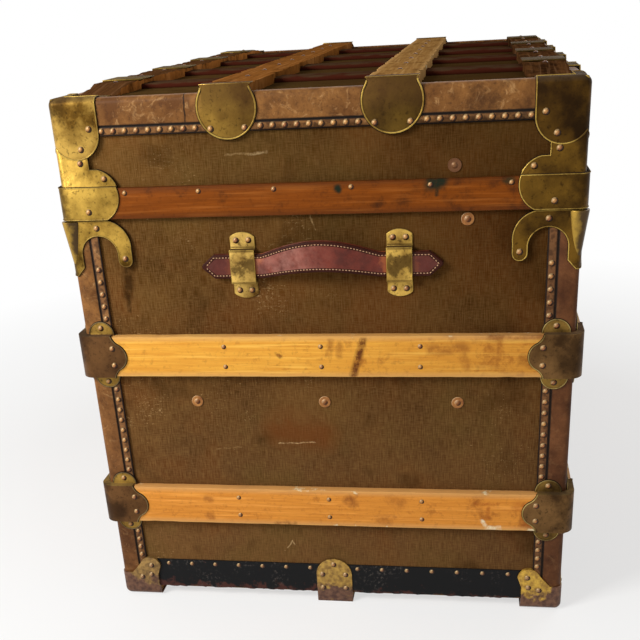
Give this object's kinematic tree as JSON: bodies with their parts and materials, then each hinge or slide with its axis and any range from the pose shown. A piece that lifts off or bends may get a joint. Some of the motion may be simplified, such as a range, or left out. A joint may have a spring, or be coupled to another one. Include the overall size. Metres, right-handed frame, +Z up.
{
  "type": "flat-top trunk",
  "caption": "Flat-top travelling trunk: a canvas-covered box with a hinged lid, wooden slats, brass corners, a lift-out tray, lever latches, a hasp lock and leather end handles.",
  "frame": {"origin": "on the floor, under the middle of the trunk", "axes": "+X along the length, towards the right-hand end handle; -Y towards the lock side; +Z up"},
  "size_m": [0.8778, 0.547, 0.5834],
  "materials": {
    "board": "sawn basswood",
    "canvas": "painted duck canvas, worn",
    "lining": "plain paper-faced lining",
    "fibre_binding": "vulcanised fibre, worn",
    "upper_slat_wood": "varnished hardwood",
    "lower_slat_wood": "varnished hardwood",
    "rim_slat_wood": "varnished hardwood",
    "top_slat_wood": "worn hardwood",
    "skid_wood": "worn hardwood",
    "cross_band": "painted canvas band",
    "brass": "stamped brass, tarnished",
    "bronzed_brass": "stamped brass, dark patina",
    "gilt_iron": "brass-plated sheet, worn",
    "black_enamel": "black enamel, chipped",
    "nail_brass": "domed nail heads",
    "steel": "dull steel",
    "handle_leather": "stitched harness leather",
    "tray_wood": "thin paper-covered boards"
  },
  "bodies": {
    "case": {"case_floor_board": "board", "case_front_board": "board", "case_back_board": "board", "case_left_end_board": "board", "case_right_end_board": "board", "case_canvas": "canvas", "case_lining": "lining", "case_corner_bindings": "fibre_binding", "case_dust_lip": "board", "case_upper_slats": "upper_slat_wood", "case_lower_slats": "lower_slat_wood", "upper_slat_corner_clamps": "bronzed_brass", "lower_slat_corner_clamps": "bronzed_brass", "case_rim_corner_horns": "brass", "bottom_corner_irons": "gilt_iron", "bottom_band": "black_enamel", "bottom_skids": "skid_wood", "skid_end_clamps": "gilt_iron", "handle_loops": "brass", "case_trim_nails": "nail_brass", "case_rivets": "nail_brass", "case_small_nails": "nail_brass", "clinch_studs": "nail_brass", "hinge_case_leaves": "steel", "hinge_pins": "steel", "lock_case": "brass", "latch_bases": "brass", "latch_pins": "steel", "tray_runners": "board"},
    "lid": {"lid_top_board": "board", "lid_rails": "board", "lid_canvas": "canvas", "lid_lining": "lining", "lid_edge_bindings": "fibre_binding", "lid_rim_slats": "rim_slat_wood", "lid_middle_slats": "top_slat_wood", "lid_edge_slats": "top_slat_wood", "lid_cross_bands": "cross_band", "lid_shield_clamps": "brass", "lid_band_clamps": "brass", "lid_top_corner_caps": "brass", "lid_rim_corner_plates": "brass", "lid_trim_nails": "nail_brass", "lid_rivets": "nail_brass", "lid_small_nails": "nail_brass", "hinge_lid_leaves": "steel", "latch_catches": "brass", "hasp_leaf": "brass", "hasp_pin": "steel"},
    "tray": {"tray_floor": "tray_wood", "tray_walls": "tray_wood", "tray_lift_tabs": "handle_leather"},
    "right_handle": {"right_handle": "handle_leather"},
    "left_handle": {"left_handle": "handle_leather"},
    "latch_lever_right": {"latch_lever_right": "brass"},
    "latch_lever_left": {"latch_lever_left": "brass"},
    "lock_hasp": {"lock_hasp": "brass"},
    "lock_bolt": {"lock_bolt": "brass"}
  },
  "joints": [
    {"name": "lid_hinge", "type": "hinge", "parent": "case", "child": "lid", "pos_m": [0, 0.2655, 0.4575], "axis": [-1, 0, 0], "range_deg": [0, 95]},
    {"name": "tray_lift", "type": "slide", "parent": "case", "child": "tray", "axis": [0, 0, 1], "range_m": [0, 0.1]},
    {"name": "right_handle_slide", "type": "slide", "parent": "case", "child": "right_handle", "axis": [0, 1, 0], "range_m": [-0.006, 0.006]},
    {"name": "left_handle_slide", "type": "slide", "parent": "case", "child": "left_handle", "axis": [0, 1, 0], "range_m": [-0.006, 0.006]},
    {"name": "right_latch_hinge", "type": "hinge", "parent": "case", "child": "latch_lever_right", "pos_m": [0.25, -0.2705, 0.428], "axis": [-1, 0, 0], "range_deg": [0, 180]},
    {"name": "left_latch_hinge", "type": "hinge", "parent": "case", "child": "latch_lever_left", "pos_m": [-0.25, -0.2705, 0.428], "axis": [-1, 0, 0], "range_deg": [0, 180]},
    {"name": "hasp_hinge", "type": "hinge", "parent": "lid", "child": "lock_hasp", "pos_m": [0, -0.2689, 0.47], "axis": [-1, 0, 0], "range_deg": [0, 150]},
    {"name": "bolt_slide", "type": "slide", "parent": "case", "child": "lock_bolt", "axis": [-1, 0, 0], "range_m": [0, 0.018]}
  ]
}
